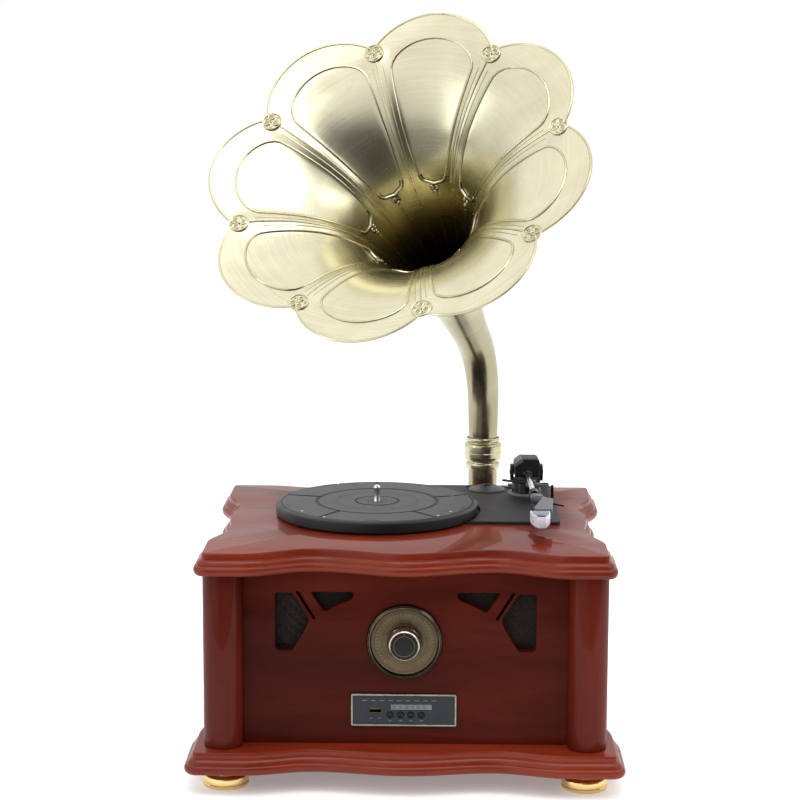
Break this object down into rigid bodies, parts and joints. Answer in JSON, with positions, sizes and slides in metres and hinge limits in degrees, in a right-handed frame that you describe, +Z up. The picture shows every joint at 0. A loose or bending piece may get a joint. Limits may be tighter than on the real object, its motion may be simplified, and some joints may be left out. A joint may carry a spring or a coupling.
{
  "type": "horn gramophone",
  "caption": "Tabletop horn gramophone: moulded wooden cabinet, record deck with tonearm, tuning dial, display panel and flower-shaped brass horn on a bent tube.",
  "frame": {"origin": "on the floor, under the centre of the object's box", "axes": "+Z up, -Y towards the listener in front, +X to the listener's right"},
  "size_m": [0.408, 0.3898, 0.7165],
  "materials": {
    "cherry_wood": "glossy lacquered cherry stain",
    "polished_brass": "polished",
    "antique_brass": "brushed pale antique brass",
    "bronze": "satin bronze",
    "dark_metal": "dark oil-rubbed",
    "black_plastic": "black, fine satin",
    "grey_plastic": "grey moulded",
    "white_plastic": "translucent white",
    "bright_steel": "bright turned",
    "slate_panel": "dark blue-grey, glossy",
    "display_window": "pale grey window",
    "speaker_mesh": "black mesh",
    "belt_rubber": "black rubber",
    "circuit_board": "green board"
  },
  "bodies": {
    "cabinet": {"base_moulding": "cherry_wood", "top_plate": "cherry_wood", "front_panel": "cherry_wood", "rear_panel": "cherry_wood", "left_panel": "cherry_wood", "right_panel": "cherry_wood", "post_front_left": "cherry_wood", "post_front_right": "cherry_wood", "post_rear_left": "cherry_wood", "post_rear_right": "cherry_wood", "horn_bracket": "cherry_wood", "foot_front_left": "polished_brass", "foot_front_right": "polished_brass", "foot_rear_left": "polished_brass", "foot_rear_right": "polished_brass", "horn_post": "antique_brass", "dial_face": "bronze", "dial_bezel": "dark_metal", "speaker_driver_left": "dark_metal", "speaker_driver_right": "dark_metal", "deck_plate": "black_plastic", "tonearm_base": "black_plastic", "rear_port_plate": "black_plastic", "arm_rest": "grey_plastic", "rotary_control": "grey_plastic", "platter_bearing": "bright_steel", "motor": "bright_steel", "display_frame": "bright_steel", "usb_socket": "bright_steel", "display_face": "slate_panel", "display_window": "display_window", "speaker_grille_left": "speaker_mesh", "speaker_grille_right": "speaker_mesh", "drive_belt": "belt_rubber", "control_board": "circuit_board"},
    "platter": {"platter": "black_plastic", "spindle": "bright_steel"},
    "motor_pulley": {"motor_pulley": "polished_brass"},
    "tonearm_turret": {"tonearm_turret": "black_plastic"},
    "tonearm": {"tonearm_housing": "black_plastic", "tonearm_tube": "bright_steel", "arm_collar": "black_plastic", "headshell": "grey_plastic", "cartridge": "black_plastic"},
    "stylus_guard": {"stylus_guard": "white_plastic"},
    "lift_bar": {"lift_bar": "black_plastic"},
    "cue_lever": {"cue_lever": "black_plastic"},
    "speed_selector": {"speed_selector": "grey_plastic"},
    "tuning_knob": {"tuning_knob": "dark_metal", "knob_shaft": "bright_steel"},
    "button_1": {"button_1": "black_plastic"},
    "button_2": {"button_2": "black_plastic"},
    "button_3": {"button_3": "black_plastic"},
    "button_4": {"button_4": "black_plastic"},
    "power_switch": {"power_switch": "black_plastic"},
    "adapter_45": {"adapter_45": "grey_plastic"},
    "horn": {"horn_collar": "antique_brass", "horn_elbow": "antique_brass", "horn_bell": "antique_brass"}
  },
  "joints": [
    {"name": "platter_spin", "type": "hinge", "parent": "cabinet", "child": "platter", "pos_m": [-0.0312, 0.0196, 0.235], "axis": [0, 0, 1], "continuous": true},
    {"name": "pulley_spin", "type": "hinge", "parent": "cabinet", "child": "motor_pulley", "pos_m": [0.03458, -0.00434, 0.232], "axis": [0, 0, 1], "continuous": true},
    {"name": "tonearm_swing", "type": "hinge", "parent": "cabinet", "child": "tonearm_turret", "pos_m": [0.12, 0.1, 0.25], "axis": [0, 0, 1], "range_deg": [-46, 0]},
    {"name": "tonearm_lift", "type": "hinge", "parent": "tonearm_turret", "child": "tonearm", "pos_m": [0.12, 0.1, 0.254], "axis": [-0.9995, -0.0314, 0], "range_deg": [0, 9]},
    {"name": "lift_bar_rise", "type": "slide", "parent": "cabinet", "child": "lift_bar", "axis": [0, 0, 1], "range_m": [0, 0.0054]},
    {"name": "cue_lever_tip", "type": "hinge", "parent": "cabinet", "child": "cue_lever", "pos_m": [0.1446, 0.06, 0.234], "axis": [1, 0, 0], "range_deg": [0, 56]},
    {"name": "guard_pull", "type": "slide", "parent": "tonearm", "child": "stylus_guard", "axis": [0.0314, -0.9994, -0.0157], "range_m": [0, 0.014]},
    {"name": "speed_select", "type": "slide", "parent": "cabinet", "child": "speed_selector", "axis": [1, 0, 0], "range_m": [0, 0.0065]},
    {"name": "tuning_turn", "type": "hinge", "parent": "cabinet", "child": "tuning_knob", "pos_m": [-0.0008, -0.14, 0.1388], "axis": [0, -1, 0], "range_deg": [-140, 140]},
    {"name": "button_1_press", "type": "slide", "parent": "cabinet", "child": "button_1", "axis": [0, 1, 0], "range_m": [0, 0.0008], "stiffness_N_per_m": 200},
    {"name": "button_2_press", "type": "slide", "parent": "cabinet", "child": "button_2", "axis": [0, 1, 0], "range_m": [0, 0.0008], "stiffness_N_per_m": 200},
    {"name": "button_3_press", "type": "slide", "parent": "cabinet", "child": "button_3", "axis": [0, 1, 0], "range_m": [0, 0.0008], "stiffness_N_per_m": 200},
    {"name": "button_4_press", "type": "slide", "parent": "cabinet", "child": "button_4", "axis": [0, 1, 0], "range_m": [0, 0.0008], "stiffness_N_per_m": 200},
    {"name": "power_rock", "type": "hinge", "parent": "cabinet", "child": "power_switch", "pos_m": [-0.095, 0.1345, 0.11], "axis": [1, 0, 0], "range_deg": [-6, 6]},
    {"name": "adapter_lift_off", "type": "slide", "parent": "cabinet", "child": "adapter_45", "axis": [0, 0, 1], "range_m": [0, 0.02]},
    {"name": "horn_swivel", "type": "hinge", "parent": "cabinet", "child": "horn", "pos_m": [0.0765, 0.172, 0.26], "axis": [0, 0, 1], "range_deg": [-60, 60]}
  ],
  "couplings": [
    {"joint": "pulley_spin", "follows": "platter_spin", "ratio": 10},
    {"joint": "cue_lever_tip", "follows": "tonearm_lift", "ratio": 6.1},
    {"joint": "lift_bar_rise", "follows": "tonearm_lift", "m_per_rad": 0.033}
  ]
}
